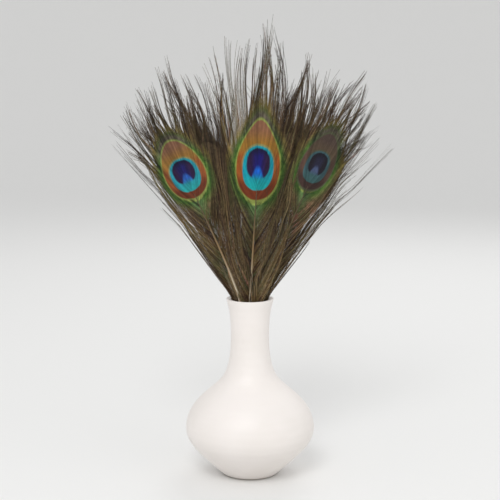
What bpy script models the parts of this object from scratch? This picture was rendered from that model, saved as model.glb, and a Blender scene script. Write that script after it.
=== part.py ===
# Nine peacock feathers standing in a narrow-necked ceramic vase.
# Metres, +Z up. The origin is the centre of the vase's flat base, and the display side faces -Y.

import math

import bmesh
import bpy
from mathutils import Vector

# Vase, 117 mm tall to the top of its rim
WALL = 0.0026
FLOOR_THICKNESS = 0.0045
FLOOR_CORNER = 0.004     # width of the slope between the floor and the wall inside
LOWEST_WALL = 0.002      # height above the floor where the wall inside starts
TURN_STEPS = 40
CURVE_STEPS = 2      # points that the smooth outline gets between two of its own
RIM_STEPS = 4
# Outside of the vase as (radius, height), from the edge of the base to the start of the rim.
VASE_OUTLINE = [
    (0.0176, 0.0000),
    (0.0215, 0.0036),
    (0.0330, 0.0145),
    (0.0404, 0.0235),
    (0.0422, 0.0330),
    (0.0382, 0.0444),
    (0.0290, 0.0540),
    (0.0190, 0.0628),
    (0.0145, 0.0720),
    (0.0125, 0.0850),
    (0.0125, 0.0985),
    (0.0134, 0.1080),
    (0.0152, 0.1154),
]

# How the shafts run: nearly straight up through the neck, then leaning out.
NECK_RING = 0.0077       # radius of the ring on which the shafts pass the neck
BEND_START = 0.106       # height where a shaft starts to lean out
BEND_LENGTH = 0.022      # rounds the start of the lean
FOOT_HEIGHT = 0.0056     # cut ends, just clear of the vase's floor
FOOT_SPREAD = 0.0085     # how much wider the cut ends stand than the neck ring, in the belly

# One feather
SHAFT_FOOT_RADIUS = 0.00130
SHAFT_MOUTH_RADIUS = 0.00100
VANE_START = 0.120       # height where the vane begins, just above the rim
VANE_HALF_THICKNESS = 0.0007
SECTION_POINTS = 12
SHAFT_STATIONS = 8
VANE_STATIONS = 15
TIP_HALF_WIDTH = 0.0012
TIP_ROUNDNESS = 2.6      # 2 rounds the vane off as an ellipse, and more makes it blunter
THINNING_SHARE = 1 / 3   # part of the vane over which the shaft thins into the blade
TANGENT_STEP = 0.0005    # half the stretch of shaft that its direction is read from

# neck: place on the neck ring, in degrees, with 270 at the front.
# eye: centre of the eye spot. face: the way the eye spot looks, in degrees.
# beyond: height from the eye spot up to the tip. width: half the vane's width.
FEATHERS = {
    "feather_front_center": dict(neck=270, eye=(0.0050, -0.0175, 0.202), face=270, beyond=0.088, width=0.0205),
    "feather_front_left": dict(neck=230, eye=(-0.0410, -0.0090, 0.197), face=252, beyond=0.060, width=0.0190),
    "feather_front_right": dict(neck=310, eye=(0.0420, -0.0090, 0.202), face=308, beyond=0.064, width=0.0190),
    "feather_side_left": dict(neck=190, eye=(-0.0500, 0.0250, 0.192), face=150, beyond=0.060, width=0.0175),
    "feather_side_right": dict(neck=350, eye=(0.0490, 0.0225, 0.188), face=26, beyond=0.060, width=0.0175),
    "feather_middle_left": dict(neck=150, eye=(-0.0240, 0.0130, 0.193), face=96, beyond=0.065, width=0.0180),
    "feather_middle_right": dict(neck=30, eye=(0.0225, 0.0130, 0.198), face=84, beyond=0.072, width=0.0180),
    "feather_back_left": dict(neck=110, eye=(-0.0300, 0.0340, 0.196), face=114, beyond=0.080, width=0.0185),
    "feather_back_right": dict(neck=70, eye=(0.0310, 0.0340, 0.197), face=66, beyond=0.076, width=0.0185),
}

CERAMIC_WHITE = (0.86, 0.85, 0.83)
FEATHER_BROWN = (0.12, 0.10, 0.05)


def clearScene():
    for obj in list(bpy.data.objects):
        bpy.data.objects.remove(obj)


def makeMaterial(name, color, roughness, metallic=0.0):
    material = bpy.data.materials.new(name)
    material.use_nodes = True
    shader = material.node_tree.nodes["Principled BSDF"]
    shader.inputs["Base Color"].default_value = (*color, 1.0)
    shader.inputs["Roughness"].default_value = roughness
    shader.inputs["Metallic"].default_value = metallic
    return material


def onRing(radius, degrees, height=0.0):
    angle = math.radians(degrees)
    return Vector((radius * math.cos(angle), radius * math.sin(angle), height))


def smoothStep(value):
    value = min(max(value, 0.0), 1.0)
    return value * value * (3.0 - 2.0 * value)


# Vase ---------------------------------------------------------------------------------------

def smoothOutline(points, steps):
    """Points of a curve that passes through all the given ones, with its direction at each."""
    ends = [2 * points[0] - points[1], *points, 2 * points[-1] - points[-2]]
    places, directions = [], []
    for before, start, end, after in zip(ends, ends[1:], ends[2:], ends[3:]):
        for step in range(steps):
            t = step / steps
            leave, arrive = (end - before) / 2, (after - start) / 2
            places.append(
                start * (2 * t**3 - 3 * t**2 + 1) + leave * (t**3 - 2 * t**2 + t)
                + end * (3 * t**2 - 2 * t**3) + arrive * (t**3 - t**2)
            )
            directions.append(
                start * (6 * t**2 - 6 * t) + leave * (3 * t**2 - 4 * t + 1)
                + end * (6 * t - 6 * t**2) + arrive * (3 * t**2 - 2 * t)
            )
    places.append(points[-1])
    directions.append(points[-1] - points[-2])
    return places, directions


def vaseProfile():
    """The vase's half section from the inside of its floor, over the rim and down to its base."""
    points = [Vector((radius, height)) for radius, height in VASE_OUTLINE]
    outside, directions = smoothOutline(points, CURVE_STEPS)
    inside = []
    for place, direction in zip(outside, directions):
        inward = Vector((-direction.y, direction.x)).normalized()
        wallPoint = place + WALL * inward
        if wallPoint.y > FLOOR_THICKNESS + LOWEST_WALL:
            inside.append(wallPoint)
    floorEdge = Vector((inside[0].x - FLOOR_CORNER, FLOOR_THICKNESS))
    middle, reach = (inside[-1] + outside[-1]) / 2, (outside[-1] - inside[-1]) / 2
    rim = []
    for step in range(1, RIM_STEPS):
        angle = math.pi * step / RIM_STEPS
        rim.append(middle - reach * math.cos(angle) + Vector((-reach.y, reach.x)) * math.sin(angle))
    axis = [Vector((0.0, FLOOR_THICKNESS)), floorEdge]
    return [*axis, *inside, *rim, *reversed(outside), Vector((0.0, 0.0))]


def makeVase(collection, material):
    profile = vaseProfile()
    mesh = bpy.data.meshes.new("vase")
    edges = [(i, i + 1) for i in range(len(profile) - 1)]
    mesh.from_pydata([(point.x, 0.0, point.y) for point in profile], edges, [])
    vase = bpy.data.objects.new("vase", mesh)
    mesh.materials.append(material)
    collection.objects.link(vase)
    turn = vase.modifiers.new("turn", "SCREW")
    turn.axis = "Z"
    turn.angle = 2 * math.pi
    turn.steps = TURN_STEPS
    turn.render_steps = TURN_STEPS
    turn.use_merge_vertices = True
    turn.merge_threshold = 0.00002
    turn.use_smooth_shade = True
    return vase


# Feathers -----------------------------------------------------------------------------------

def shaftPoint(feather, height):
    """Where the shaft's centreline is at this height."""
    neck = onRing(NECK_RING, feather["neck"])
    rise = height - BEND_START
    if rise < 0:
        share = rise / (FOOT_HEIGHT - BEND_START)
        return neck + onRing(FOOT_SPREAD * share**2, feather["neck"], height)
    eye = Vector(feather["eye"])
    eyeRise = eye.z - BEND_START
    out = Vector((eye.x - neck.x, eye.y - neck.y, 0.0))
    share = (rise**2 / (rise + BEND_LENGTH)) / (eyeRise**2 / (eyeRise + BEND_LENGTH))
    return neck + out * share + Vector((0.0, 0.0, height))


def shaftFrame(feather, height):
    """(place, across, outward) of the shaft at this height."""
    above, below = shaftPoint(feather, height + TANGENT_STEP), shaftPoint(feather, height - TANGENT_STEP)
    along = (above - below).normalized()
    across = along.cross(onRing(1.0, feather["face"])).normalized()
    return shaftPoint(feather, height), across, across.cross(along)


def vaneHalfWidth(feather, height):
    """Half the vane's width: it opens from the rim to the eye spot, then rounds off to the tip."""
    eyeHeight = feather["eye"][2]
    if height < eyeHeight:
        share = smoothStep((height - VANE_START) / (eyeHeight - VANE_START))
        return feather["width"] * share
    share = (height - eyeHeight) / feather["beyond"]
    return max(feather["width"] * math.sqrt(max(1.0 - share**TIP_ROUNDNESS, 0.0)), TIP_HALF_WIDTH)


def featherSections(feather):
    """(height, half width, half thickness) of each section, from the cut end to the tip."""
    sections = []
    for step in range(SHAFT_STATIONS):
        share = 1.0 - (1.0 - step / SHAFT_STATIONS) ** 2  # closer together where the shaft bends
        radius = SHAFT_FOOT_RADIUS + (SHAFT_MOUTH_RADIUS - SHAFT_FOOT_RADIUS) * share
        sections.append((FOOT_HEIGHT + (VANE_START - FOOT_HEIGHT) * share, radius, radius))
    tip = feather["eye"][2] + feather["beyond"]
    for step in range(VANE_STATIONS):
        share = step / (VANE_STATIONS - 1)
        height = VANE_START + (tip - VANE_START) * share
        thinning = smoothStep(share / THINNING_SHARE)
        halfThickness = SHAFT_MOUTH_RADIUS + (VANE_HALF_THICKNESS - SHAFT_MOUTH_RADIUS) * thinning
        sections.append((height, max(vaneHalfWidth(feather, height), SHAFT_MOUTH_RADIUS), halfThickness))
    return sections


def makeFeather(name, feather, collection, material):
    """A loft from the round shaft into the flat vane, which reaches the tips of the barbs."""
    form = bmesh.new()
    rings = []
    for height, halfWidth, halfThickness in featherSections(feather):
        place, across, outward = shaftFrame(feather, height)
        ring = []
        for point in range(SECTION_POINTS):
            angle = 2 * math.pi * point / SECTION_POINTS
            shift = across * (halfWidth * math.cos(angle)) + outward * (halfThickness * math.sin(angle))
            ring.append(form.verts.new(place + shift))
        rings.append(ring)
    for lower, upper in zip(rings, rings[1:]):
        for point in range(SECTION_POINTS):
            beside = (point + 1) % SECTION_POINTS
            form.faces.new((lower[point], lower[beside], upper[beside], upper[point]))
    form.faces.new(list(reversed(rings[0])))
    form.faces.new(rings[-1])
    bmesh.ops.recalc_face_normals(form, faces=form.faces)
    mesh = bpy.data.meshes.new(name)
    form.to_mesh(mesh)
    form.free()
    mesh.shade_smooth()
    mesh.materials.append(material)
    obj = bpy.data.objects.new(name, mesh)
    collection.objects.link(obj)
    return obj


def main():
    clearScene()
    collection = bpy.data.collections.new("peacock_feathers_in_vase")
    bpy.context.scene.collection.children.link(collection)
    ceramic = makeMaterial("ceramic", CERAMIC_WHITE, roughness=0.35)
    plume = makeMaterial("feather", FEATHER_BROWN, roughness=0.55, metallic=0.2)
    makeVase(collection, ceramic)
    for name, feather in FEATHERS.items():
        makeFeather(name, feather, collection, plume)


main()
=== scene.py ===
import math

import bpy
import numpy as np
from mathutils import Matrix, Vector


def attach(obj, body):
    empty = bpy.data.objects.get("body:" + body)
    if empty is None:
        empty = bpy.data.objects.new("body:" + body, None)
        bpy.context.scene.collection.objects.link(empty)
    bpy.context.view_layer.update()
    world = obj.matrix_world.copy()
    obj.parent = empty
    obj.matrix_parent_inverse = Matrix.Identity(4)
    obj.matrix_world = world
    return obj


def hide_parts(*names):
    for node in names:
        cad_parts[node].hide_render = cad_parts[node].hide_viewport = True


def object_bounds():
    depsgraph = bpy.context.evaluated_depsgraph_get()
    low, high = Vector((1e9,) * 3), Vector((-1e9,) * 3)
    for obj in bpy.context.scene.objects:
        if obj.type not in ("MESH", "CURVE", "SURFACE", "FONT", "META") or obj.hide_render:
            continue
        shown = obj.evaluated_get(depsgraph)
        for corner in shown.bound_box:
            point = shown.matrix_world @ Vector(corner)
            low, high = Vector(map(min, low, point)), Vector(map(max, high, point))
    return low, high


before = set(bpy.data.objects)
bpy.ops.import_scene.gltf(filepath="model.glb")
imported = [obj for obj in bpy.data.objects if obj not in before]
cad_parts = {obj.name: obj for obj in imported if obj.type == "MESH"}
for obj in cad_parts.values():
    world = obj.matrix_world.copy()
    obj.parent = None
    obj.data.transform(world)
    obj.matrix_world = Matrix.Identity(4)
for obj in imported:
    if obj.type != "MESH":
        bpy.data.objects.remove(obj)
cadLow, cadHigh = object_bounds()
print("frame loaded:", len(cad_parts), "nodes")


view = {
    "lens": 85,
    "sensor": 36,
    "elevation": 8,          # degrees above the horizon
    "fill": 0.90,            # share of the picture's height that the object takes
    "aimShift": 0.003,       # how far above the object's middle the camera aims
}


def makeCamera():
    camera = bpy.data.objects.new("camera", bpy.data.cameras.new("camera"))
    bpy.context.scene.collection.objects.link(camera)
    camera.data.lens = view["lens"]
    camera.data.sensor_width = view["sensor"]
    height = cadHigh.z - cadLow.z
    distance = height / view["fill"] * view["lens"] / view["sensor"]
    tilt = math.radians(view["elevation"])
    aim = Vector((0.0, 0.0, (cadLow.z + cadHigh.z) / 2 + view["aimShift"]))
    camera.location = aim + distance * Vector((0.0, -math.cos(tilt), math.sin(tilt)))
    camera.rotation_euler = (math.pi / 2 - tilt, 0.0, 0.0)
    bpy.context.scene.camera = camera


makeCamera()
print("camera set")


def deselectAll():
    for obj in bpy.context.selected_objects:
        obj.select_set(False)


def tint(red, green, blue):  # a screen colour, 0 to 255, as the linear one that a socket takes
    linear = []
    for value in (red / 255, green / 255, blue / 255):
        linear.append(value / 12.92 if value <= 0.04045 else ((value + 0.055) / 1.055) ** 2.4)
    return (*linear, 1.0)


def feed(tree, socket, value):  # a socket takes another node's output, or a plain value
    if isinstance(value, bpy.types.NodeSocket):
        tree.links.new(value, socket)
    else:
        socket.default_value = value


def calc(tree, operation, first, second=0.0):
    node = tree.nodes.new("ShaderNodeMath")
    node.operation = operation
    feed(tree, node.inputs[0], first)
    feed(tree, node.inputs[1], second)
    return node.outputs[0]


def ease(tree, value, start, end):  # 0 at start, 1 at end
    node = tree.nodes.new("ShaderNodeMapRange")
    node.interpolation_type = "SMOOTHSTEP"
    feed(tree, node.inputs["Value"], value)
    feed(tree, node.inputs["From Min"], start)
    feed(tree, node.inputs["From Max"], end)
    return node.outputs["Result"]


def blendColor(tree, share, below, above, how="MIX"):
    node = tree.nodes.new("ShaderNodeMix")
    node.data_type = "RGBA"
    node.blend_type = how
    feed(tree, node.inputs[0], share)
    feed(tree, node.inputs[6], below)
    feed(tree, node.inputs[7], above)
    return node.outputs[2]


def colorRamp(tree, value, stops):
    node = tree.nodes.new("ShaderNodeValToRGB")
    ramp = node.color_ramp
    while len(ramp.elements) < len(stops):
        ramp.elements.new(0.5)
    for element, (place, color) in zip(ramp.elements, stops):
        element.position = place
        element.color = color
    feed(tree, node.inputs[0], value)
    return node.outputs[0]


def noise(tree, place, scale, detail=2.0):
    node = tree.nodes.new("ShaderNodeTexNoise")
    feed(tree, node.inputs["Vector"], place)
    node.inputs["Scale"].default_value = scale
    node.inputs["Detail"].default_value = detail
    return node.outputs[0]


def newGroup(name, takes, gives):
    group = bpy.data.node_groups.new(name, "ShaderNodeTree")
    for label, kind in takes:
        group.interface.new_socket(label, in_out="INPUT", socket_type=kind)
    for label, kind in gives:
        group.interface.new_socket(label, in_out="OUTPUT", socket_type=kind)
    return group, group.nodes.new("NodeGroupInput").outputs, group.nodes.new("NodeGroupOutput").inputs


def placeGroup(tree, group, **values):
    node = tree.nodes.new("ShaderNodeGroup")
    node.node_tree = group
    for label, value in values.items():
        feed(tree, node.inputs[label], value)
    return node.outputs


def newMaterial(name):
    material = bpy.data.materials.new(name)
    material.use_nodes = True
    return material, material.node_tree, material.node_tree.nodes["Principled BSDF"].inputs


# in millimetres from the middle of the blue-green disc, up towards the tip
eyeSpot = {
    "unit": 100,             # millimetres in one unit of the UV map
    "eggWide": 14.5,         # half the outline's width
    "eggTall": 21.85,        # half its height
    "eggMiddle": 4.15,       # how far its middle lies above the disc's
    "eggTaper": 0.18,        # narrower at the top
    "taperEnd": 1.6,         # but no further than this many half heights up
    "eggRoundness": 2.0,     # 2 is an ellipse, and more is squarer
    "discWide": 10.2,
    "discTall": 11.9,
    "coreWide": 7.7,
    "coreTall": 8.3,
    "coreMiddle": 2.4,
    "roundness": 2.3,
    "pointFrom": 0.006,      # where a pointed eye spot starts to narrow, and over what height, in metres
    "pointOver": 0.034,
    "notchTop": 3.4,         # where the light wedge in the dark core ends
    "notchWide": 0.62,       # its half width, for the distance down from there
    "notchPower": 0.85,
    "ragged": 0.5,           # how far one barb's colours are off its neighbour's
    "core": tint(24, 20, 110),
    "coreSide": tint(46, 23, 66),
    "coreTop": tint(18, 14, 58),
    "notch": tint(20, 104, 212),
    "disc": tint(18, 156, 174),
    "discLow": tint(20, 168, 170),
    "rim": tint(138, 156, 104),
    "bronze": tint(156, 84, 34),
    "gold": tint(158, 114, 44),
    "bronzeTop": tint(142, 98, 72),
    "ring": tint(116, 52, 24),
    "line": tint(150, 162, 80),
    "glow": tint(52, 98, 28),
    "mist": tint(104, 88, 82),
    "halo": tint(136, 122, 58),
    "tail": tint(104, 134, 84),
    # bands of colour: the strength of each, and from where to where it comes in. x and y are the place,
    # and egg and disc are 1 on those ovals' edges, as line is on the light line's
    "outside": [
        ("halo", 0.45, [("egg", 1.22, 1.36), ("egg", 1.62, 1.42), ("y", -12, 8)]),
        ("glow", 0.92, [("egg", 1.44, 1.04)]),
        ("mist", 0.80, [("egg", 1.28, 1.10), ("y", 12, 26)]),
        ("tail", 0.75, [("x", 7, 1), ("y", -38, -20), ("y", -8, -16)]),
        ("line", 0.90, [("line", 1.06, 0.99)]),
    ],
    "bronzes": [
        ("gold", 1.0, [("y", 5, 11)]),
        ("bronzeTop", 1.0, [("y", 12, 22)]),
        ("ring", 1.0, [("y", -3, -10)]),
    ],
    "rims": [("rim", 0.75, [("disc", 1.13, 1.04), ("y", -4, 8)])],
    "discs": [("discLow", 1.0, [("y", -3, -10)])],
    "notches": [("notch", 1.0, [("y", 2.5, -1.5)])],
    "cores": [("coreSide", 1.0, [("x", 0.8, 5.5)]), ("coreTop", 1.0, [("y", 5, 10)])],
    "lineLow": (-8, -19),    # where the light line is at its widest, by how much, and how far to the sides
    "lineWider": 0.07,
    "lineSide": (9, 1),
    "eggEdge": (0.99, 0.945),
    "discEdge": (1.03, 0.96),
    "coreEdge": (1.06, 0.93),
    "notchEdge": (0.8, -0.9),
    "notchFade": (-2, -7),   # where the notch takes the disc's colour
    "eyeEdge": (1.06, 0.98),
    "aroundEdge": (1.50, 1.15),
}


def makeEyeGroup():
    tree, takes, gives = newGroup(
        "eyeSpot",
        [("Place", "NodeSocketVector"), ("Barb", "NodeSocketFloat"), ("Loose", "NodeSocketColor")],
        [("Color", "NodeSocketColor"), ("Eye", "NodeSocketFloat"), ("Around", "NodeSocketFloat")],
    )
    parts = tree.nodes.new("ShaderNodeSeparateXYZ")
    feed(tree, parts.inputs[0], takes["Place"])
    x = calc(tree, "ABSOLUTE", calc(tree, "MULTIPLY", parts.outputs[0], eyeSpot["unit"]))
    off = calc(tree, "MULTIPLY", calc(tree, "SUBTRACT", takes["Barb"], 0.5), eyeSpot["ragged"])
    y = calc(tree, "ADD", calc(tree, "MULTIPLY", parts.outputs[1], eyeSpot["unit"]), off)

    def oval(middle, wide, tall, power):  # 1 on the oval's edge, less inside it
        across = calc(tree, "POWER", calc(tree, "DIVIDE", x, wide), power)
        up = calc(tree, "DIVIDE", calc(tree, "ABSOLUTE", calc(tree, "SUBTRACT", y, middle)), tall)
        return calc(tree, "POWER", calc(tree, "ADD", across, calc(tree, "POWER", up, power)), 1 / power)

    rise = calc(tree, "DIVIDE", calc(tree, "SUBTRACT", y, eyeSpot["eggMiddle"]), eyeSpot["eggTall"])
    capped = calc(tree, "MINIMUM", rise, eyeSpot["taperEnd"])
    slim = calc(tree, "SUBTRACT", 1.0, calc(tree, "MULTIPLY", capped, eyeSpot["eggTaper"]))
    half = calc(tree, "MULTIPLY", slim, eyeSpot["eggWide"])
    egg = oval(eyeSpot["eggMiddle"], half, eyeSpot["eggTall"], eyeSpot["eggRoundness"])
    disc = oval(0.0, eyeSpot["discWide"], eyeSpot["discTall"], eyeSpot["roundness"])
    core = oval(eyeSpot["coreMiddle"], eyeSpot["coreWide"], eyeSpot["coreTall"], eyeSpot["roundness"])
    bottom = calc(tree, "MULTIPLY", ease(tree, y, *eyeSpot["lineLow"]), ease(tree, x, *eyeSpot["lineSide"]))
    line = calc(tree, "SUBTRACT", egg, calc(tree, "MULTIPLY", bottom, eyeSpot["lineWider"]))
    measures = {"x": x, "y": y, "egg": egg, "disc": disc, "line": line}

    def paintOver(color, bands):
        for name, share, limits in bands:
            for measure, start, end in limits:
                share = calc(tree, "MULTIPLY", share, ease(tree, measures[measure], start, end))
            color = blendColor(tree, share, color, eyeSpot[name])
        return color

    # from the outside in: the bands round the outline, the bronze, the blue-green disc, the dark core
    color = paintOver(takes["Loose"], eyeSpot["outside"])
    bronze = paintOver(eyeSpot["bronze"], eyeSpot["bronzes"])
    color = blendColor(tree, ease(tree, egg, *eyeSpot["eggEdge"]), color, bronze)
    color = paintOver(color, eyeSpot["rims"])
    discColor = paintOver(eyeSpot["disc"], eyeSpot["discs"])
    color = blendColor(tree, ease(tree, disc, *eyeSpot["discEdge"]), color, discColor)
    drop = calc(tree, "MAXIMUM", calc(tree, "SUBTRACT", eyeSpot["notchTop"], y), 0.0)
    wedge = calc(tree, "MULTIPLY", calc(tree, "POWER", drop, eyeSpot["notchPower"]), eyeSpot["notchWide"])
    notch = ease(tree, calc(tree, "SUBTRACT", x, wedge), *eyeSpot["notchEdge"])
    light = paintOver(eyeSpot["core"], eyeSpot["notches"])
    light = blendColor(tree, ease(tree, y, *eyeSpot["notchFade"]), light, discColor)
    dark = blendColor(tree, notch, paintOver(eyeSpot["core"], eyeSpot["cores"]), light)
    color = blendColor(tree, ease(tree, core, *eyeSpot["coreEdge"]), color, dark)
    feed(tree, gives["Color"], color)
    feed(tree, gives["Eye"], ease(tree, egg, *eyeSpot["eyeEdge"]))
    feed(tree, gives["Around"], ease(tree, egg, *eyeSpot["aroundEdge"]))
    return tree


barbFinish = {
    "hues": [                # a loose barb's colour, by its chances and the mottling
        (0.10, tint(36, 27, 22)), (0.34, tint(94, 62, 46)), (0.52, tint(114, 90, 50)),
        (0.68, tint(62, 76, 40)), (0.84, tint(128, 78, 66)),
    ],
    "clumpHue": 0.28,        # how far the clump's chance, the barb's and the mottling move it
    "barbHue": 0.40,
    "mottleHue": 0.6,
    "mottleScale": 9.0,
    "mottleMiddle": 0.25,
    "tip": tint(52, 40, 34),
    "tipShare": 0.6,
    "tipFrom": 0.45,
    "stem": tint(172, 146, 108),
    "stemShare": 0.46,       # how pale a barb's own stem is
    "stemFade": (1.1, 0.3),  # along the barb: less towards the tip, and less at its root, which is painted shade where the roots crowd into the vase's mouth
    "stemRootShade": (0.0, 0.25),
    "fringe": (0.47, 0.47, 0.47, 1.0),    # how much darker the barbules beside it are
    "back": tint(82, 64, 48),
    "backShare": 0.5,        # how much plainer the back is
    "eyeBack": 0.25,         # how much darker the eye spot's back is than the barbs round it
    "eyeFade": (0.42, 0.78), # colour and light that the most faded eye spot loses
    "fadeEdge": (0.0, 0.6),
    "level": 0.78,           # brightness of all the colours
    "specular": 0.30,
    "sheenBeadScale": 42.0,       # painted sheen: light and dark spots along each barb, where its barbules would catch the light
    # each of these loose and in the eye spot
    "rough": (0.60, 0.42),
    "metal": (0.12, 0.35),
    "sheenBeads": (1.3, 0.4),     # strength of the painted sheen spots
    "contrast": (1.65, 0.75),     # of one barb's brightness to the next
}


def makeBarbMaterial():
    material, tree, shader = newMaterial("barbs")

    def eased(eye, loose, inside):  # a value that goes from one to the other into the eye spot
        return calc(tree, "ADD", calc(tree, "MULTIPLY", eye, inside - loose), loose)

    place = tree.nodes.new("ShaderNodeUVMap")
    place.uv_map = "vanePlace"
    growth = tree.nodes.new("ShaderNodeAttribute")
    growth.attribute_name = "growth"      # x: the barb's own chance, y: its clump's, z: how far along
    parts = tree.nodes.new("ShaderNodeSeparateXYZ")
    feed(tree, parts.inputs[0], growth.outputs["Vector"])
    barb, clump, along = parts.outputs
    mottle = noise(tree, place.outputs[0], barbFinish["mottleScale"], 3.0)
    mottle = calc(tree, "SUBTRACT", mottle, barbFinish["mottleMiddle"])
    hue = calc(tree, "MULTIPLY", clump, barbFinish["clumpHue"])
    hue = calc(tree, "ADD", hue, calc(tree, "MULTIPLY", barb, barbFinish["barbHue"]))
    hue = calc(tree, "ADD", hue, calc(tree, "MULTIPLY", mottle, barbFinish["mottleHue"]))
    loose = colorRamp(tree, hue, barbFinish["hues"])
    tipShare = calc(tree, "MULTIPLY", ease(tree, along, barbFinish["tipFrom"], 1.0), barbFinish["tipShare"])
    loose = blendColor(tree, tipShare, loose, barbFinish["tip"])
    part = tree.nodes.new("ShaderNodeAttribute")
    part.attribute_name = "fringe"        # 1 on the barbules
    pale = calc(tree, "MULTIPLY", ease(tree, along, *barbFinish["stemFade"]), barbFinish["stemShare"])
    # painted shade: the stems lose their paleness at the root, which darkens the bunch down in the vase's
    # mouth
    pale = calc(tree, "MULTIPLY", pale, ease(tree, along, *barbFinish["stemRootShade"]))
    stem = blendColor(tree, pale, loose, barbFinish["stem"])
    beside = blendColor(tree, 1.0, loose, barbFinish["fringe"], "MULTIPLY")
    loose = blendColor(tree, part.outputs["Fac"], stem, beside)
    found = placeGroup(tree, makeEyeGroup(), Place=place.outputs[0], Barb=barb, Loose=loose)
    behind = tree.nodes.new("ShaderNodeNewGeometry").outputs["Backfacing"]
    ahead = calc(tree, "SUBTRACT", 1.0, behind)
    eye = calc(tree, "MULTIPLY", found["Eye"], ahead)   # its back streaks like the loose barbs
    mood = tree.nodes.new("ShaderNodeAttribute")
    mood.attribute_name = "dull"
    dull = calc(tree, "MULTIPLY", mood.outputs["Fac"], ease(tree, eye, *barbFinish["fadeEdge"]))
    faded = tree.nodes.new("ShaderNodeHueSaturation")
    for label, loss in zip(("Saturation", "Value"), barbFinish["eyeFade"]):
        feed(tree, faded.inputs[label], calc(tree, "SUBTRACT", 1.0, calc(tree, "MULTIPLY", dull, loss)))
    feed(tree, faded.inputs["Color"], found["Color"])
    contrast = eased(eye, *barbFinish["contrast"])
    shade = calc(tree, "MULTIPLY", calc(tree, "SUBTRACT", barb, 0.5), contrast)
    shade = calc(tree, "ADD", calc(tree, "MULTIPLY", shade, barbFinish["level"]), barbFinish["level"])
    # painted sheen: a brightness noise along each barb that stands in for the glints of its barbules
    sheenBeads = calc(tree, "SUBTRACT", noise(tree, place.outputs[0], barbFinish["sheenBeadScale"], 1.0), 0.5)
    sheenBeads = calc(tree, "MULTIPLY", sheenBeads, eased(eye, *barbFinish["sheenBeads"]))
    shade = calc(tree, "MULTIPLY", shade, calc(tree, "ADD", 1.0, sheenBeads))
    hidden = calc(tree, "MULTIPLY", calc(tree, "MULTIPLY", found["Around"], behind), barbFinish["eyeBack"])
    shade = calc(tree, "MULTIPLY", shade, calc(tree, "SUBTRACT", 1.0, hidden))
    grey = tree.nodes.new("ShaderNodeCombineColor")
    for socket in grey.inputs:
        feed(tree, socket, shade)
    front = blendColor(tree, 1.0, faded.outputs[0], grey.outputs[0], "MULTIPLY")
    plain = blendColor(tree, barbFinish["backShare"], loose, barbFinish["back"])
    back = blendColor(tree, 1.0, plain, grey.outputs[0], "MULTIPLY")
    feed(tree, shader["Base Color"], blendColor(tree, behind, front, back))
    shader["Specular IOR Level"].default_value = barbFinish["specular"]
    feed(tree, shader["Roughness"], eased(eye, *barbFinish["rough"]))
    feed(tree, shader["Metallic"], calc(tree, "MULTIPLY", eased(eye, *barbFinish["metal"]), ahead))
    return material


shaftFinish = {
    "ivory": tint(226, 214, 190),
    "tan": tint(150, 122, 84),
    "dark": tint(62, 54, 34),
    "tanFrom": (0.115, 0.150),    # heights over which the ivory turns tan, and the tan dark
    "darkFrom": (0.145, 0.180),
    "streakScale": 420.0,
    "streakShare": 0.3,
    "rough": 0.30,
    "streakRough": 0.25,
}


def makeShaftMaterial():
    material, tree, shader = newMaterial("quill")
    place = tree.nodes.new("ShaderNodeTexCoord").outputs["Object"]
    parts = tree.nodes.new("ShaderNodeSeparateXYZ")
    feed(tree, parts.inputs[0], place)
    height = parts.outputs[2]
    streak = noise(tree, place, shaftFinish["streakScale"])
    tanShare = ease(tree, height, *shaftFinish["tanFrom"])
    color = blendColor(tree, tanShare, shaftFinish["ivory"], shaftFinish["tan"])
    color = blendColor(tree, ease(tree, height, *shaftFinish["darkFrom"]), color, shaftFinish["dark"])
    streakShare = calc(tree, "MULTIPLY", streak, shaftFinish["streakShare"])
    feed(tree, shader["Base Color"], blendColor(tree, streakShare, color, shaftFinish["tan"]))
    rough = calc(tree, "MULTIPLY", streak, shaftFinish["streakRough"])
    feed(tree, shader["Roughness"], calc(tree, "ADD", shaftFinish["rough"], rough))
    return material


glaze = {
    "color": tint(243, 237, 233),
    "shade": tint(238, 232, 227),
    "foot": tint(206, 196, 182),
    "footEdge": (0.0012, 0.0008),
    "cloudScale": 26.0,      # of the soft change from the glaze's colour to its shade
    "cloudEdge": (0.35, 0.70),
    "rough": 0.42,
    "cloudRough": 0.12,
    "footRough": 0.35,
    "ringScale": 60.0,       # of the turning marks under the glaze
    "ringBend": 1.5,
    "speckScale": 900.0,
    "speckShare": 0.4,
    "ripple": 0.05,          # strength of both, and their height
    "rippleHeight": 0.001,
}


def makeGlazeMaterial():
    material, tree, shader = newMaterial("whiteGlaze")
    place = tree.nodes.new("ShaderNodeTexCoord").outputs["Object"]
    parts = tree.nodes.new("ShaderNodeSeparateXYZ")
    feed(tree, parts.inputs[0], place)
    cloud = noise(tree, place, glaze["cloudScale"], 3.0)
    speck = calc(tree, "MULTIPLY", noise(tree, place, glaze["speckScale"]), glaze["speckShare"])
    rings = tree.nodes.new("ShaderNodeTexWave")
    rings.bands_direction = "Z"
    feed(tree, rings.inputs["Vector"], place)
    rings.inputs["Scale"].default_value = glaze["ringScale"]
    rings.inputs["Distortion"].default_value = glaze["ringBend"]
    color = blendColor(tree, ease(tree, cloud, *glaze["cloudEdge"]), glaze["color"], glaze["shade"])
    bare = ease(tree, parts.outputs[2], *glaze["footEdge"])
    feed(tree, shader["Base Color"], blendColor(tree, bare, color, glaze["foot"]))
    rough = calc(tree, "ADD", glaze["rough"], calc(tree, "MULTIPLY", cloud, glaze["cloudRough"]))
    rough = calc(tree, "ADD", rough, calc(tree, "MULTIPLY", bare, glaze["footRough"]))
    feed(tree, shader["Roughness"], rough)
    bump = tree.nodes.new("ShaderNodeBump")
    bump.inputs["Strength"].default_value = glaze["ripple"]
    bump.inputs["Distance"].default_value = glaze["rippleHeight"]
    feed(tree, bump.inputs["Height"], calc(tree, "ADD", rings.outputs[1], speck))
    feed(tree, shader["Normal"], bump.outputs[0])
    return material


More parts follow.
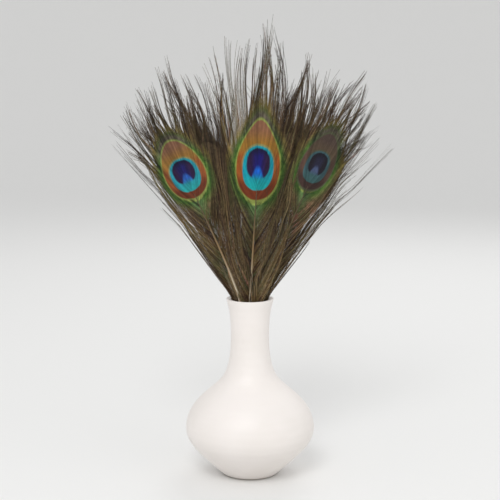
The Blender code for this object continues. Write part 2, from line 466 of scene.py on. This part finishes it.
vaseShape = {
    "around": 64,
    "wall": 0.0026,
    "footRing": 0.0032,      # width of the ring that it stands on
    "footHollow": 0.0008,    # how far the base is set in
    "stepsBetween": 2,       # rings that the smooth outline gets between two of its own points
    # radius and height outside, from the edge of the base up to the rim
    "outline": [
        (0.0176, 0.0000), (0.0215, 0.0036), (0.0330, 0.0145), (0.0404, 0.0235), (0.0422, 0.0330),
        (0.0382, 0.0444), (0.0290, 0.0540), (0.0190, 0.0628), (0.0145, 0.0720), (0.0125, 0.0850),
        (0.0125, 0.0985), (0.0134, 0.1080), (0.0152, 0.1154), (0.0153, 0.1166),
    ],
}


def smoothOutline(points, steps):  # a curve through all the points
    ends = [2 * points[0] - points[1], *points, 2 * points[-1] - points[-2]]
    places = []
    for before, start, end, after in zip(ends, ends[1:], ends[2:], ends[3:]):
        leave, arrive = (end - before) / 2, (after - start) / 2
        for step in range(steps):
            t = step / steps
            places.append(
                start * (2 * t**3 - 3 * t**2 + 1) + leave * (t**3 - 2 * t**2 + t)
                + end * (3 * t**2 - 2 * t**3) + arrive * (t**3 - t**2)
            )
    return [*places, points[-1]]


def makeVase(material):
    deselectAll()
    outline = smoothOutline([Vector(point) for point in vaseShape["outline"]], vaseShape["stepsBetween"])
    bpy.ops.mesh.primitive_circle_add(vertices=vaseShape["around"], radius=outline[0].x, fill_type="NGON")
    vase = bpy.context.object
    vase.name = "vase_glazed"
    bpy.ops.object.mode_set(mode="EDIT")
    bpy.ops.mesh.select_all(action="SELECT")
    for lower, upper in zip(outline, outline[1:]):  # the wall rises ring by ring under a disc
        bpy.ops.mesh.extrude_region_move(TRANSFORM_OT_translate={"value": (0, 0, upper.y - lower.y)})
        grow = upper.x / lower.x
        bpy.ops.transform.resize(value=(grow, grow, 1), center_override=(0, 0, upper.y))
    bpy.ops.mesh.delete(type="ONLY_FACE")  # the disc goes, which opens the mouth
    bpy.ops.mesh.select_all(action="SELECT")
    bpy.ops.mesh.normals_make_consistent(inside=False)
    bpy.ops.mesh.select_all(action="DESELECT")
    bpy.ops.object.mode_set(mode="OBJECT")
    for face in vase.data.polygons:
        face.select = len(face.vertices) == vaseShape["around"]  # the base
    bpy.ops.object.mode_set(mode="EDIT")
    bpy.ops.mesh.inset(thickness=vaseShape["footRing"])
    bpy.ops.transform.translate(value=(0, 0, vaseShape["footHollow"]))
    bpy.ops.object.mode_set(mode="OBJECT")
    wall = vase.modifiers.new("wall", "SOLIDIFY")
    wall.thickness = vaseShape["wall"]
    wall.offset = -1
    smooth = vase.modifiers.new("smooth", "SUBSURF")
    smooth.levels = smooth.render_levels = 1
    for modifier in (wall.name, smooth.name):
        bpy.ops.object.modifier_apply(modifier=modifier)
    bpy.ops.object.shade_smooth()
    vase.data.materials.append(material)
    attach(vase, "root")
    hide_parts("vase")


makeVase(makeGlazeMaterial())
print("vase made")


def smoothStep(value):
    value = np.clip(value, 0.0, 1.0)
    return value * value * (3.0 - 2.0 * value)


def between(share, start, end):
    return start + (end - start) * share


def unit(vectors):
    return vectors / np.linalg.norm(vectors, axis=-1, keepdims=True)


def onRing(radius, degrees):
    angle = math.radians(degrees)
    return np.array([radius * math.cos(angle), radius * math.sin(angle), 0.0])


# how the shafts stand in the vase: straight up the neck, then leaning out
stance = {
    "neckRing": 0.0077,      # radius of the ring on which they pass the neck
    "bendStart": 0.106,      # height where they start to lean out
    "bendLength": 0.022,     # rounds the start of the lean
    "footHeight": 0.0056,    # of the cut ends
    "footSpread": 0.0085,    # how much wider than the neck ring the cut ends stand
    "pastEye": 0.14,         # how far above the eye spot the shaft's line is carried on
    "places": 900,           # along that line
}

# neck: place on the neck ring; eye: centre of the eye spot; face: the way it looks
# neck and face are in degrees, and 270 is the front; beyond: from the eye spot to the tip
# wide, tall, point: size of the eye spot's pattern, and how far it narrows upwards
# spray: how loosely the barbs hang; strand: how far they part into strands, with gaps between
# dull: how faded the eye spot is; seed: its own growth
feathers = {
    "feather_front_center": dict(
        neck=270, eye=(0.0050, -0.0175, 0.202), face=270, beyond=0.088,
        wide=0.95, tall=1.20, point=0.32, spray=1.0, strand=0.0, dull=0.0, seed=11),
    "feather_front_left": dict(
        neck=230, eye=(-0.0410, -0.0090, 0.197), face=252, beyond=0.060,
        wide=0.98, tall=0.92, point=0.0, spray=1.1, strand=0.55, dull=0.10, seed=12),
    "feather_front_right": dict(
        neck=310, eye=(0.0420, -0.0090, 0.202), face=308, beyond=0.064,
        wide=0.94, tall=0.90, point=0.0, spray=1.1, strand=0.5, dull=0.85, seed=13),
    "feather_side_left": dict(
        neck=190, eye=(-0.0500, 0.0250, 0.192), face=150, beyond=0.060,
        wide=0.88, tall=0.88, point=0.0, spray=1.1, strand=0.80, dull=0.15, seed=14),
    "feather_side_right": dict(
        neck=350, eye=(0.0490, 0.0225, 0.188), face=26, beyond=0.060,
        wide=0.88, tall=0.88, point=0.05, spray=1.3, strand=1.0, dull=0.10, seed=15),
    "feather_middle_left": dict(
        neck=150, eye=(-0.0240, 0.0130, 0.193), face=96, beyond=0.065,
        wide=0.90, tall=0.92, point=0.0, spray=1.0, strand=0.15, dull=0.20, seed=16),
    "feather_middle_right": dict(
        neck=30, eye=(0.0225, 0.0130, 0.198), face=84, beyond=0.072,
        wide=0.90, tall=0.95, point=0.0, spray=1.2, strand=0.2, dull=0.15, seed=17),
    "feather_back_left": dict(
        neck=110, eye=(-0.0300, 0.0340, 0.196), face=114, beyond=0.080,
        wide=0.94, tall=0.98, point=0.05, spray=0.75, strand=0.5, dull=0.0, seed=18),
    "feather_back_right": dict(
        neck=70, eye=(0.0310, 0.0340, 0.197), face=66, beyond=0.076,
        wide=0.94, tall=0.96, point=0.0, spray=0.9, strand=0.4, dull=0.05, seed=19),
}


class Spine:  # the line of a feather's shaft, carried on past its tip, with the vane's own directions
    def __init__(self, feather):
        eye = np.array(feather["eye"])
        self.heights = np.linspace(stance["footHeight"], eye[2] + stance["pastEye"], stance["places"])
        neck = onRing(stance["neckRing"], feather["neck"])
        rise = self.heights - stance["bendStart"]
        below = np.minimum(rise, 0.0) / (stance["footHeight"] - stance["bendStart"])
        above = np.maximum(rise, 0.0)
        eyeRise = eye[2] - stance["bendStart"]
        share = (above**2 / (above + stance["bendLength"])) / (eyeRise**2 / (eyeRise + stance["bendLength"]))
        lean = (eye - neck) * (1, 1, 0)
        spread = onRing(stance["footSpread"], feather["neck"])
        self.places = neck + np.outer(below**2, spread) + np.outer(share, lean)
        self.places[:, 2] = self.heights
        along = unit(np.gradient(self.places, axis=0))
        self.across = unit(np.cross(along, onRing(1.0, feather["face"])))
        self.outward = np.cross(self.across, along)
        steps = np.linalg.norm(np.diff(self.places, axis=0), axis=1)
        self.reach = np.concatenate([[0.0], np.cumsum(steps)])
        self.reach -= np.interp(eye[2], self.heights, self.reach)  # 0 at the middle of the eye spot

    def read(self, table, reach):
        return np.stack([np.interp(reach, self.reach, table[:, axis]) for axis in range(3)], axis=-1)

    def toSpace(self, x, y, lift):
        flat = self.read(self.places, y) + x[..., None] * self.read(self.across, y)
        return flat + lift[..., None] * self.read(self.outward, y)


shaft = {
    "radii": [(0.0, 0.00130), (0.117, 0.00092), (0.150, 0.00056), (0.185, 0.00030)],  # by height
    "tipRadius": 0.00012,
    "end": -0.013,           # from the eye spot's middle, so in its lower edge
    "points": 60,
    "merge": 0.000005,
}


def makeShaft(name, spine, material):
    deselectAll()
    line = bpy.data.curves.new(name, "CURVE")
    line.dimensions = "3D"
    line.bevel_depth = 1.0   # each point's radius is in metres
    line.bevel_resolution = 2
    line.use_fill_caps = True
    route = line.splines.new("POLY")
    route.points.add(shaft["points"] - 1)
    reach = np.linspace(spine.reach[0], shaft["end"], shaft["points"])
    places = spine.read(spine.places, reach)
    heights, radii = zip(*shaft["radii"])
    widths = np.interp(places[:, 2], heights, radii)
    widths[-2:] = shaft["tipRadius"] * 2, shaft["tipRadius"]
    for point, place, width in zip(route.points, places, widths):
        point.co = (*place, 1.0)
        point.radius = width
    piece = bpy.data.objects.new(name, line)
    bpy.context.scene.collection.objects.link(piece)
    bpy.context.view_layer.objects.active = piece
    piece.select_set(True)
    bpy.ops.object.convert(target="MESH")
    piece = bpy.context.object
    bpy.ops.object.mode_set(mode="EDIT")
    bpy.ops.mesh.select_all(action="SELECT")
    bpy.ops.mesh.remove_doubles(threshold=shaft["merge"])
    bpy.ops.mesh.normals_make_consistent(inside=False)
    bpy.ops.object.mode_set(mode="OBJECT")
    bpy.ops.object.shade_smooth()
    piece.data.materials.append(material)
    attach(piece, "root")


vane = {
    "lowestHeight": 0.101,   # the lowest barbs leave the shaft inside the neck
    "highestRoot": 0.006,    # and the highest one this far above the eye spot's middle
    "rootGaps": (0.00104, 0.00047),       # between two barbs, low on the shaft and round the eye spot
    "strandGaps": (1.6, 0.3),     # how much wider these are on a feather that hangs in strands
    "gapSpread": (0.85, 1.15),
    "denseFrom": -0.034,     # where the one gap turns into the other, below the eye spot's middle
    "denseFade": 0.010,
    "fanDepth": 0.030,       # stretch of shaft over which the barbs turn out to their widest
    "fanPower": 0.75,
    "startAngles": (0.3, 35.0),   # to the shaft, at its end and low down
    "endAngles": (0.3, 6.0),
    "gather": 11.5,          # degrees that the eye spot's barbs lean back in above it
    "turnPower": 1.6,
    "tuftShare": 0.80,       # how far up the tuft its outermost barbs reach
    "lowLonger": 0.05,       # how much more than that, for the lowest of them
    "barbLength": 0.076,     # low on the shaft
    "lengthFade": 0.030,
    "barbSpread": (0.88, 1.06),   # a barb's length and its clump's, for the usual one
    "clumpSpread": (0.74, 1.12),
    "spreadPower": 1.5,      # most clumps are nearer the shorter length
    "stations": 20,
    "clump": (2, 12),        # barbs that hang together
    "strandClump": (2, 6),   # and on a feather that hangs in strands
    "strandsFrom": 0.6,      # which is one that parts into strands more than this
    "clumpPull": (0.30, 0.98),
    "pullFrom": 0.3,         # where along a barb the pull sets in, and over how much of it
    "pullFade": 0.42,
    "topPull": 0.12,         # share of that pull over the eye spot, where the tuft stays dense
    "tuftWait": 0.36,        # and how much later it sets in there
    "deepFrom": -0.045,      # below this the barbs lie less in clumps, which closes the bunch
    "deepFade": 0.030,
    "deepLoose": 0.55,
    "strandPull": 0.96,      # of a feather that hangs in strands
    "strandLonger": 1.1,     # how much longer its lower ones are at most
    "strandTurn": 18.0,      # degrees that they stand off at most
    "strandLift": 0.034,     # and how far out towards the side that the feather faces
    "fray": 0.35,            # how far a clump comes apart again at its tip
    "frayFrom": 0.75,
    "clumpTurn": 7.0,        # degrees that a clump strays
    "topTurn": 0.05,         # share of that right above the eye spot
    "turnFrom": 0.35,
    "barbTurn": 2.2,
    "strayShare": 0.06,      # single barbs that stand off
    "strayLeast": 0.3,
    "strayTurn": 14.0,
    "curlShare": 0.18,       # clumps whose tips curl out
    "curlTurn": (12.0, 36.0),
    "curlFrom": 0.45,
    "wave": 0.0018,
    "waveTurns": (7.0, 6.0), # radians of it along a barb, sideways and in and out
    "streakBarbs": 5,        # neighbours that share a chance, how much of it, and how much is a barb's own
    "streakShared": 1.6,
    "streakOwn": 0.54,
    "clumpLift": 0.0055,
    "barbLift": 0.0012,
    "droop": 0.0040,         # how far the tips hang towards the side that the feather faces
    "cup": 0.0025,           # how far back barbs lie, and how far from the shaft that is
    "cupAt": 0.020,
    "liftPower": 1.5,
    "roll": 22.0,
    "fineWidth": 0.00036,
    "thinning": 0.60,        # share of it that is gone at the tip
    "overlap": 1.3,          # barbs lie over each other in the eye spot
    "widest": 0.00130,
    "ridge": 0.22,           # height of a barb's ridge for its width
    "barbuleGap": 0.00043,
    "barbuleBase": 0.00028,
    "barbuleLength": 0.00095,
    "bareTip": 0.82,         # how much shorter they are at the barb's tip
    "barbuleAngle": 45.0,
    "barbuleStray": 12.0,
    "barbuleRise": 0.3,      # how far they stand up or down, for their length
    "freeFrom": 1.1,         # outlines from the eye spot's middle where barbs hang free, and over how many
    "freeFade": 0.8,
    "eyeFade": 0.35,         # how far past the outline the eye spot's barbs get narrow again
    "barbulesFrom": 1.02,    # just outside the eye spot, where barbs lie close with no barbules
    # how far from the vase's middle line barbs may stand at each height: the neck, then the open fan
    "room": [
        (0.0, 0.0086), (0.100, 0.0086), (0.108, 0.0098), (0.117, 0.0121), (0.122, 0.0150),
        (0.137, 0.0265), (0.165, 0.048), (0.200, 0.090), (0.250, 0.150), (0.400, 0.400),
    ],
    "crowding": 6,           # how sharply they are pressed in there
}


def patternPlace(feather, x, y):  # place in the eye spot's own pattern, in millimetres
    narrow = 1.0 - feather["point"] * smoothStep((y - eyeSpot["pointFrom"]) / eyeSpot["pointOver"])
    return x * 1000 / (feather["wide"] * narrow), y * 1000 / feather["tall"]


def eggRadius(feather, x, y):  # 1 on the eye spot's outline, as in its colours
    across, up = patternPlace(feather, x, y)
    rise = (up - eyeSpot["eggMiddle"]) / eyeSpot["eggTall"]
    half = eyeSpot["eggWide"] * (1.0 - eyeSpot["eggTaper"] * np.minimum(rise, eyeSpot["taperEnd"]))
    return np.hypot(across / half, rise)


def keepInNeck(points):
    heights, rooms = zip(*vane["room"])
    room = np.interp(points[..., 2], heights, rooms)
    radius = np.hypot(points[..., 0], points[..., 1])
    squeeze = (1.0 + (radius / room) ** vane["crowding"]) ** (-1.0 / vane["crowding"])
    return np.concatenate([points[..., :2] * squeeze[..., None], points[..., 2:]], axis=-1)


def rootPlaces(feather, spine, chance):
    lowest = np.interp(vane["lowestHeight"], spine.heights, spine.reach)
    loose, close = [
        gap * (1.0 + widening * feather["strand"])
        for gap, widening in zip(vane["rootGaps"], vane["strandGaps"])
    ]
    roots, place = [], vane["highestRoot"]
    while place > lowest:
        roots.append(place)
        dense = smoothStep((place - vane["denseFrom"]) / vane["denseFade"] + 0.5)
        gap = loose + (close - loose) * dense
        place -= gap * chance.uniform(*vane["gapSpread"])
    return np.array(roots)


def streaks(chance, count):  # chances that neighbouring barbs partly share, which shows as streaks
    near = vane["streakBarbs"]
    shared = np.convolve(chance.random(count + near - 1), np.ones(near) / near, mode="valid")
    own = vane["streakOwn"] * (chance.random(count) - 0.5)
    return np.clip(0.5 + own + vane["streakShared"] * (shared - 0.5), 0.0, 1.0)


def towardTip(along, start):  # 0 up to the start, then up to 1 at the barb's tip
    return smoothStep((along - start) / (1.0 - start))


def barbLengths(feather, roots, low, share):  # up to a share of the tuft's height, or of a set length below
    tuftEdge = feather["beyond"] * (1.0 - (1.0 - vane["tuftShare"]) * low)
    tall = (tuftEdge * share - roots) * (1.0 + vane["lowLonger"] * low)
    loose = smoothStep((vane["highestRoot"] - vane["fanDepth"] - roots) / vane["lengthFade"])
    return tall + (vane["barbLength"] * share - tall) * loose


def growSide(feather, spine, chance, side):
    roots = rootPlaces(feather, spine, chance)
    count, stations = len(roots), vane["stations"]
    whole = (count, stations)
    fewest, most = vane["strandClump"] if feather["strand"] > vane["strandsFrom"] else vane["clump"]
    sizes = chance.integers(fewest, most + 1, count)
    clump = np.repeat(np.arange(count), sizes)[:count]
    clumps = clump.max() + 1
    along = np.linspace(0.0, 1.0, stations)
    low = np.clip((vane["highestRoot"] - roots) / vane["fanDepth"], 0.0, 1.0)
    deep = smoothStep((vane["deepFrom"] - roots) / vane["deepFade"])
    usual = barbLengths(feather, roots, low, 1.0)
    share = between(chance.random(clumps)[clump] ** vane["spreadPower"], *vane["clumpSpread"])
    share *= 1.0 + vane["strandLonger"] * feather["strand"] * deep * chance.random(clumps)[clump]
    length = barbLengths(feather, roots, low, share * chance.uniform(*vane["barbSpread"], count))
    share = length / usual
    start = between(low ** vane["fanPower"], *vane["startAngles"])
    end = between(low, *vane["endAngles"]) - vane["gather"] * np.sin(np.pi * low)

    def bend(reached):  # direction where this share of the usual length is reached
        left = np.clip(1.0 - reached, 0.0, 1.0)
        return np.radians(end[:, None] + (start - end)[:, None] * left ** vane["turnPower"])

    def trace(angle, length):  # where barbs run that grow in these directions
        steps = np.stack([np.sin(angle), np.cos(angle)]) * (length / (stations - 1))[:, None]
        run = np.cumsum((steps[..., 1:] + steps[..., :-1]) / 2, axis=2)
        run = np.concatenate([np.zeros((2, count, 1)), run], axis=2)
        return run[0], roots[:, None] + run[1]

    # first in perfect order, each as long as usual, which says how far apart neighbours lie
    angle = bend(np.broadcast_to(along, whole))
    x, y = trace(angle, usual)
    apart = np.abs(np.diff(x, axis=0) * np.cos(angle[1:]) - np.diff(y, axis=0) * np.sin(angle[1:]))
    apart = np.vstack([apart[:1], np.maximum(apart[:-1], apart[1:]), apart[-1:]])
    reached = along * share[:, None]
    apart = np.stack([np.interp(row, along, gaps) for row, gaps in zip(reached, apart)])

    # then at their own lengths, which says which stretches make the eye spot
    angle = bend(reached)
    egg = eggRadius(feather, *trace(angle, length))
    inEye = 1.0 - smoothStep((egg - 1.0) / vane["eyeFade"])
    free = smoothStep((egg - vane["freeFrom"]) / vane["freeFade"])

    # and last with each clump and barb straying, but only outside it
    loosely = np.sqrt(feather["spray"])
    stray = chance.normal(0.0, vane["clumpTurn"], clumps)[clump] * loosely
    stray *= between(low**1.5, vane["topTurn"], 1.0)
    standOff = chance.uniform(0.0, 1.0, clumps)[clump] * deep * feather["strand"]
    stray += standOff * vane["strandTurn"]
    stray += chance.normal(0.0, vane["barbTurn"], count)
    alone = chance.random(count) < vane["strayShare"]
    stray += alone * low * chance.uniform(vane["strayLeast"], 1.0, count) * vane["strayTurn"] * (1.0 + deep)
    curl = (chance.random(clumps) < vane["curlShare"]) * chance.uniform(*vane["curlTurn"], clumps)
    turn = stray[:, None] * towardTip(along, vane["turnFrom"])
    turn = turn + (curl[clump] * low)[:, None] * towardTip(along, vane["curlFrom"])
    x, y = trace(angle + np.radians(turn) * free, length)
    pull = chance.uniform(*vane["clumpPull"], clumps)[clump] * between(low**4, vane["topPull"], 1.0)
    pull = between(feather["strand"], pull, vane["strandPull"])
    pull = pull * ~alone * (1.0 - vane["deepLoose"] * deep * (1.0 - feather["strand"]))
    wait = vane["pullFrom"] + vane["tuftWait"] * (1.0 - low[:, None])
    pull = pull[:, None] * smoothStep((along - wait) / vane["pullFade"]) * free
    pull = pull * (1.0 - vane["fray"] * towardTip(along, vane["frayFrom"]))
    members = np.bincount(clump, minlength=clumps)[:, None]
    for line in (x, y):
        total = np.zeros((clumps, stations))
        np.add.at(total, clump, line)
        line += ((total / members)[clump] - line) * pull
    phase = chance.uniform(0.0, 2 * np.pi, (2, clumps))[:, clump, None]
    sway = vane["wave"] * free * along
    swayX, swayLift = (sway * np.sin(at + turns * along) for at, turns in zip(phase, vane["waveTurns"]))
    x = x + swayX
    lift = chance.normal(vane["droop"], vane["clumpLift"], clumps)[clump][:, None] * feather["spray"]
    lift = lift * along ** vane["liftPower"]
    lift += chance.normal(0.0, vane["barbLift"], count)[:, None] * along + swayLift
    lift += (standOff * feather["strand"] * vane["strandLift"])[:, None] * along ** vane["liftPower"]
    lift -= vane["cup"] * (x / vane["cupAt"]) ** 2
    fine = vane["fineWidth"] * (1.0 - vane["thinning"] * along)
    width = fine + (np.minimum(apart * vane["overlap"], vane["widest"]) - fine) * inEye
    return {
        "x": x * side, "y": y, "lift": lift * free, "width": width, "free": free,
        "egg": eggRadius(feather, x, y), "length": length, "along": np.broadcast_to(along, whole),
        "barb": np.broadcast_to(streaks(chance, count)[:, None], whole),
        "clump": np.broadcast_to(chance.random(clumps)[clump][:, None], whole),
        "roll": np.radians(chance.normal(0.0, vane["roll"], count)),
    }


def ribbons(points, ways, grown, marks):  # a barb is a ridged ribbon, three points across
    across, outward = ways[1:]
    half = grown["width"][..., None] / 2
    rows = np.stack([
        points - across * half, points + outward * half * 2 * vane["ridge"], points + across * half,
    ], axis=2)
    count, stations = points.shape[:2]
    corner = np.arange(count * stations * 3).reshape(count, stations, 3)
    faces = []
    for strip in (0, 1):
        a, b = corner[:, :-1, strip], corner[:, :-1, strip + 1]
        c, d = corner[:, 1:, strip + 1], corner[:, 1:, strip]
        faces += [np.stack([a, b, c], axis=-1), np.stack([a, c, d], axis=-1)]
    faces = np.concatenate([face.reshape(-1, 3) for face in faces])
    return rows.reshape(-1, 3), faces, np.repeat(marks.reshape(-1, marks.shape[-1]), 3, axis=0)


def barbules(points, ways, grown, marks, chance):  # one thin triangle each, on both sides of a barb
    stations = points.shape[1]
    most = int(grown["length"].max() / vane["barbuleGap"])
    step = (np.arange(most) + 0.5) * vane["barbuleGap"] / grown["length"][:, None] * (stations - 1)
    onBarb = step < stations - 1.001     # just short of its tip
    barb, _ = np.nonzero(onBarb)
    step = step[onBarb]
    before = step.astype(int)
    share = step - before

    def read(table):
        weight = share.reshape(-1, *[1] * (table.ndim - 2))
        return table[barb, before] * (1.0 - weight) + table[barb, before + 1] * weight

    keep = read(grown["egg"]) > vane["barbulesFrom"]
    barb, before, share = barb[keep], before[keep], share[keep]
    foot, mark, far = read(points), read(marks), read(grown["along"])
    along, across, outward = (unit(read(way)) for way in ways)
    corners = []
    for side in (1, -1):
        turn = vane["barbuleAngle"] + chance.normal(0.0, vane["barbuleStray"], len(foot))
        turn = np.radians(turn)[:, None]
        rise = chance.normal(0.0, vane["barbuleRise"], len(foot))[:, None]
        size = vane["barbuleLength"] * (1.0 - vane["bareTip"] * far**2)[:, None]
        tip = foot + size * (along * np.cos(turn) + side * across * np.sin(turn) + outward * rise)
        base = along * (side * vane["barbuleBase"] / 2)
        corners.append(np.stack([foot + base, foot - base, tip], axis=1))
    corners = np.concatenate(corners).reshape(-1, 3)
    faces = np.arange(len(corners)).reshape(-1, 3)
    return corners, faces, np.repeat(np.concatenate([mark, mark]), 3, axis=0)


def makeVane(name, node, feather, spine, material):
    chance = np.random.default_rng(feather["seed"])
    verts, faces, marks, fringe, first = [], [], [], [], 0  # marks: place in the pattern, then growth
    for side in (1, -1):
        grown = growSide(feather, spine, chance, side)
        points = keepInNeck(spine.toSpace(grown["x"], grown["y"], grown["lift"]))
        along = unit(np.gradient(points, axis=1))
        outward = spine.read(spine.outward, grown["y"])
        across = unit(np.cross(along, outward))
        outward = np.cross(across, along)
        roll = (grown["roll"][:, None] * grown["free"])[..., None]
        across = across * np.cos(roll) + outward * np.sin(roll)
        ways = (along, across, np.cross(across, along))
        pattern = [place / eyeSpot["unit"] for place in patternPlace(feather, grown["x"], grown["y"])]
        mark = np.stack([*pattern, grown["barb"], grown["clump"], grown["along"]], axis=-1)
        parts = ribbons(points, ways, grown, mark), barbules(points, ways, grown, mark, chance)
        for isFringe, (corners, triangles, cornerMarks) in enumerate(parts):
            verts.append(corners)
            faces.append(triangles + first)
            marks.append(cornerMarks)
            fringe.append(np.full(len(corners), float(isFringe)))
            first += len(corners)
    verts, faces, marks = np.concatenate(verts), np.concatenate(faces), np.concatenate(marks)
    mesh = bpy.data.meshes.new(name)
    mesh.vertices.add(len(verts))
    mesh.vertices.foreach_set("co", verts.ravel())
    mesh.loops.add(faces.size)
    mesh.loops.foreach_set("vertex_index", faces.ravel())
    mesh.polygons.add(len(faces))
    mesh.polygons.foreach_set("loop_start", np.arange(0, faces.size, 3))
    mesh.update(calc_edges=True)
    mesh.uv_layers.new(name="vanePlace").data.foreach_set("uv", marks[faces.ravel(), :2].ravel())
    growth = mesh.attributes.new("growth", "FLOAT_VECTOR", "POINT")
    growth.data.foreach_set("vector", marks[:, 2:].ravel())
    dull = np.full(len(verts), feather["dull"])
    for label, values in (("dull", dull), ("fringe", np.concatenate(fringe))):
        mesh.attributes.new(label, "FLOAT", "POINT").data.foreach_set("value", values)
    mesh.shade_smooth()
    mesh.materials.append(material)
    piece = bpy.data.objects.new(name, mesh)
    bpy.context.scene.collection.objects.link(piece)
    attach(piece, "root")
    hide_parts(node)
    return len(faces)


barbMaterial, shaftMaterial = makeBarbMaterial(), makeShaftMaterial()
total = 0
for node, feather in feathers.items():
    spine = Spine(feather)
    label = node.removeprefix("feather_")
    makeShaft("shaft_" + label, spine, shaftMaterial)
    made = makeVane("vane_" + label, node, feather, spine, barbMaterial)
    total += made
    print(node, "grown:", made, "triangles in its vane")
print("all feathers grown:", total, "triangles")


stage = {                    # a pale floor that turns up all round into a low wall
    "floorRadius": 1.8,
    "wallRadius": 3.2,
    "wallHeight": 0.95,
    "wallSteps": 12,
    "around": 96,
    "color": tint(238, 238, 237),
    "rough": 0.7,
    "specular": 0.2,
}


def makeStage():
    deselectAll()
    rings = []
    for step in range(stage["wallSteps"] + 1):
        angle = math.pi / 2 * step / stage["wallSteps"]
        radius = stage["floorRadius"] + (stage["wallRadius"] - stage["floorRadius"]) * math.sin(angle)
        rings.append((radius, stage["wallHeight"] * (1 - math.cos(angle))))
    rings.reverse()
    bpy.ops.mesh.primitive_circle_add(
        vertices=stage["around"], radius=rings[0][0], fill_type="NGON", location=(0, 0, rings[0][1]))
    floor = bpy.context.object
    floor.name = "floor"
    bpy.ops.object.transform_apply(location=True, rotation=False, scale=False)
    bpy.ops.object.mode_set(mode="EDIT")
    bpy.ops.mesh.select_all(action="SELECT")
    for upper, lower in zip(rings, rings[1:]):  # from the top of the wall in to the floor
        bpy.ops.mesh.extrude_region_move(TRANSFORM_OT_translate={"value": (0, 0, lower[1] - upper[1])})
        shrink = lower[0] / upper[0]
        bpy.ops.transform.resize(value=(shrink, shrink, 1), center_override=(0, 0, lower[1]))
    bpy.ops.mesh.select_all(action="DESELECT")
    bpy.ops.object.mode_set(mode="OBJECT")
    for face in floor.data.polygons:  # the disc that it began as, which would cover it
        face.select = len(face.vertices) == stage["around"] and face.center.z > stage["wallHeight"] / 2
    bpy.ops.object.mode_set(mode="EDIT")
    bpy.ops.mesh.delete(type="ONLY_FACE")
    bpy.ops.mesh.select_all(action="SELECT")
    bpy.ops.mesh.normals_make_consistent(inside=True)
    bpy.ops.object.mode_set(mode="OBJECT")
    bpy.ops.object.shade_smooth()
    material, _, shader = newMaterial("paleFloor")
    shader["Base Color"].default_value = stage["color"]
    shader["Roughness"].default_value = stage["rough"]
    shader["Specular IOR Level"].default_value = stage["specular"]
    floor.data.materials.append(material)


lighting = {
    "world": 0.72,
    "lamps": {               # place, what it is aimed at, size and power of each soft lamp
        "keyLamp": ((-0.22, -1.05, 1.10), (0, 0, 0.16), 0.60, 7.4),
        "fillLamp": ((0.85, -0.60, 0.50), (0, 0, 0.15), 0.80, 0.8),
        "backLamp": ((0.30, 0.95, 0.95), (0, 0, 0.18), 0.70, 2.6),
    },
}


def makeLight():
    world = bpy.data.worlds.new("studio")
    world.use_nodes = True
    background = world.node_tree.nodes["Background"].inputs
    background["Color"].default_value = (1.0, 1.0, 1.0, 1.0)
    background["Strength"].default_value = lighting["world"]
    bpy.context.scene.world = world
    for name, (place, aim, size, power) in lighting["lamps"].items():
        lamp = bpy.data.lights.new(name, "AREA")
        lamp.size = size
        lamp.energy = power
        holder = bpy.data.objects.new(name, lamp)
        holder.location = place
        holder.rotation_euler = (Vector(aim) - Vector(place)).to_track_quat("-Z", "Y").to_euler()
        bpy.context.scene.collection.objects.link(holder)


makeStage()
makeLight()
bpy.context.scene.view_settings.view_transform = "Standard"  # plain screen colours
print("stage and lights set")
